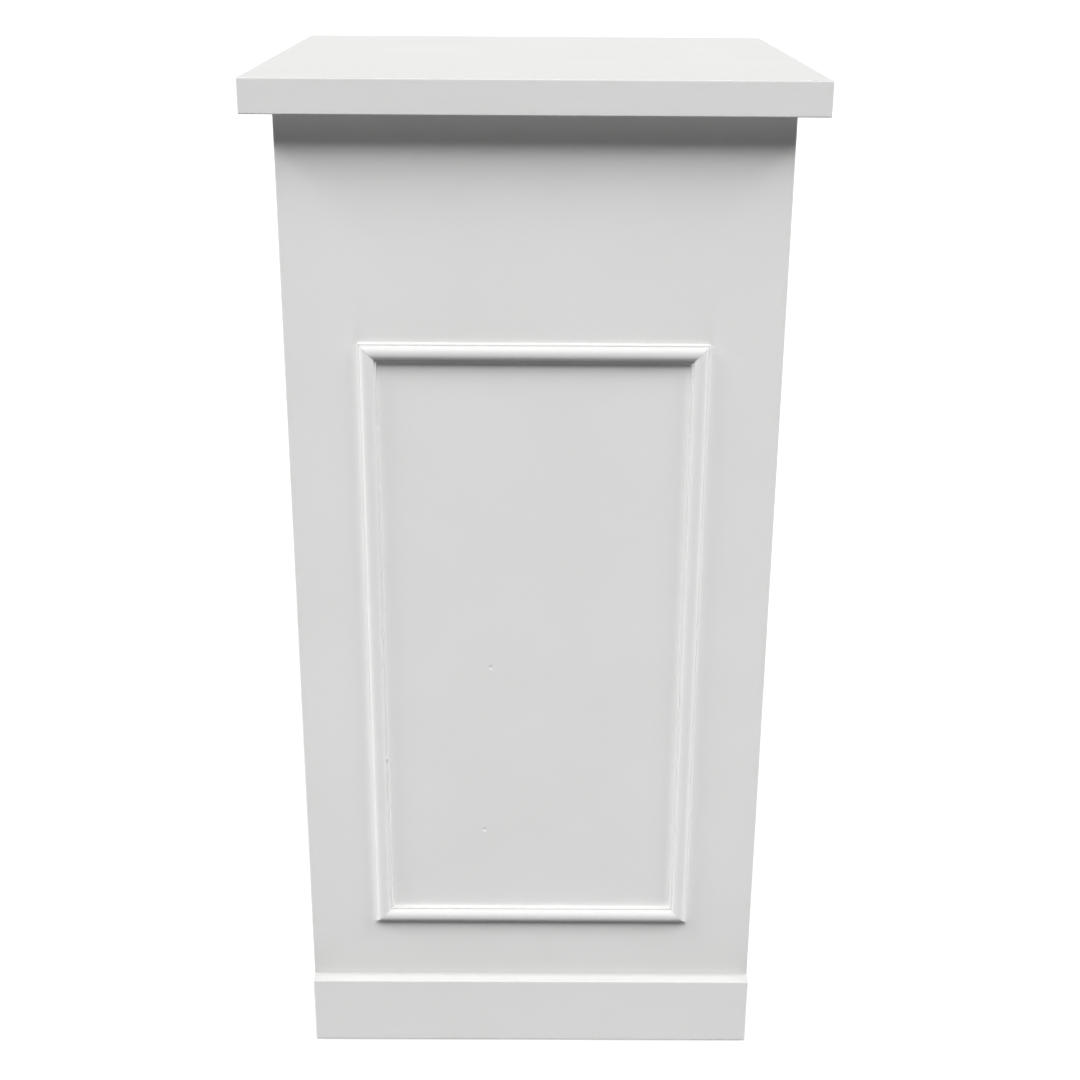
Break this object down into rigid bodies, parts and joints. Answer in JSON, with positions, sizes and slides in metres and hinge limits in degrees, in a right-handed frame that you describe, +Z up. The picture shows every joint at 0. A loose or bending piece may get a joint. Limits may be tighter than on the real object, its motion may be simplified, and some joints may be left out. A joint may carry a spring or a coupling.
{
  "type": "display plinth",
  "caption": "Square white painted display plinth: box column with an overhanging top, a mitred panel-moulding frame and a skirting on the front, and concealed levelling feet.",
  "frame": {"origin": "on the floor under the middle of the top board", "axes": "+Z up, the moulded front faces -Y, +X to the right seen from the front"},
  "size_m": [0.5, 0.5, 0.98],
  "materials": {
    "board_paint": "satin white paint on fibreboard",
    "mould_paint": "satin white paint on moulded timber",
    "softwood": "bare planed softwood",
    "zinc_steel": "bright zinc plate",
    "black_rubber": "matt black"
  },
  "bodies": {
    "carcass": {"back_panel": "board_paint", "base_rail_back": "softwood", "base_rail_front": "softwood", "base_rail_left": "softwood", "base_rail_right": "softwood", "corner_batten_back_left": "softwood", "corner_batten_back_right": "softwood", "corner_batten_front_left": "softwood", "corner_batten_front_right": "softwood", "foot_block_back_left": "softwood", "foot_block_back_right": "softwood", "foot_block_front_left": "softwood", "foot_block_front_right": "softwood", "foot_insert_back_left": "zinc_steel", "foot_insert_back_right": "zinc_steel", "foot_insert_front_left": "zinc_steel", "foot_insert_front_right": "zinc_steel", "foot_lock_nut_back_left": "zinc_steel", "foot_lock_nut_back_right": "zinc_steel", "foot_lock_nut_front_left": "zinc_steel", "foot_lock_nut_front_right": "zinc_steel", "front_panel": "board_paint", "front_skirting": "board_paint", "left_side_panel": "board_paint", "panel_mould_bottom": "mould_paint", "panel_mould_left": "mould_paint", "panel_mould_right": "mould_paint", "panel_mould_top": "mould_paint", "right_side_panel": "board_paint", "skirting_screw_1": "zinc_steel", "skirting_screw_2": "zinc_steel", "skirting_screw_3": "zinc_steel", "skirting_screw_4": "zinc_steel", "top_board": "board_paint", "top_cleat_back": "softwood", "top_cleat_front": "softwood", "top_cleat_left": "softwood", "top_cleat_right": "softwood", "top_screw_back_1": "zinc_steel", "top_screw_back_2": "zinc_steel", "top_screw_front_1": "zinc_steel", "top_screw_front_2": "zinc_steel", "top_screw_left_1": "zinc_steel", "top_screw_left_2": "zinc_steel", "top_screw_right_1": "zinc_steel", "top_screw_right_2": "zinc_steel"},
    "front_left_pad": {"foot_pad_front_left": "black_rubber"},
    "front_left_stud": {"foot_stud_front_left": "zinc_steel"},
    "front_right_pad": {"foot_pad_front_right": "black_rubber"},
    "front_right_stud": {"foot_stud_front_right": "zinc_steel"},
    "back_left_pad": {"foot_pad_back_left": "black_rubber"},
    "back_left_stud": {"foot_stud_back_left": "zinc_steel"},
    "back_right_pad": {"foot_pad_back_right": "black_rubber"},
    "back_right_stud": {"foot_stud_back_right": "zinc_steel"}
  },
  "joints": [
    {"name": "front_left_foot_travel", "type": "slide", "parent": "carcass", "child": "front_left_pad", "axis": [0, 0, 1], "range_m": [-0.012, 0.002]},
    {"name": "front_left_stud_turn", "type": "hinge", "parent": "front_left_pad", "child": "front_left_stud", "pos_m": [-0.1767, -0.1767, 0], "axis": [0, 0, 1], "range_deg": [-3456, 576]},
    {"name": "front_right_foot_travel", "type": "slide", "parent": "carcass", "child": "front_right_pad", "axis": [0, 0, 1], "range_m": [-0.012, 0.002]},
    {"name": "front_right_stud_turn", "type": "hinge", "parent": "front_right_pad", "child": "front_right_stud", "pos_m": [0.1767, -0.1767, 0], "axis": [0, 0, 1], "range_deg": [-3456, 576]},
    {"name": "back_left_foot_travel", "type": "slide", "parent": "carcass", "child": "back_left_pad", "axis": [0, 0, 1], "range_m": [-0.012, 0.002]},
    {"name": "back_left_stud_turn", "type": "hinge", "parent": "back_left_pad", "child": "back_left_stud", "pos_m": [-0.1767, 0.1767, 0], "axis": [0, 0, 1], "range_deg": [-3456, 576]},
    {"name": "back_right_foot_travel", "type": "slide", "parent": "carcass", "child": "back_right_pad", "axis": [0, 0, 1], "range_m": [-0.012, 0.002]},
    {"name": "back_right_stud_turn", "type": "hinge", "parent": "back_right_pad", "child": "back_right_stud", "pos_m": [0.1767, 0.1767, 0], "axis": [0, 0, 1], "range_deg": [-3456, 576]}
  ],
  "couplings": [
    {"joint": "front_left_stud_turn", "follows": "front_left_foot_travel", "rad_per_m": 5026.5},
    {"joint": "front_right_stud_turn", "follows": "front_right_foot_travel", "rad_per_m": 5026.5},
    {"joint": "back_left_stud_turn", "follows": "back_left_foot_travel", "rad_per_m": 5026.5},
    {"joint": "back_right_stud_turn", "follows": "back_right_foot_travel", "rad_per_m": 5026.5}
  ]
}
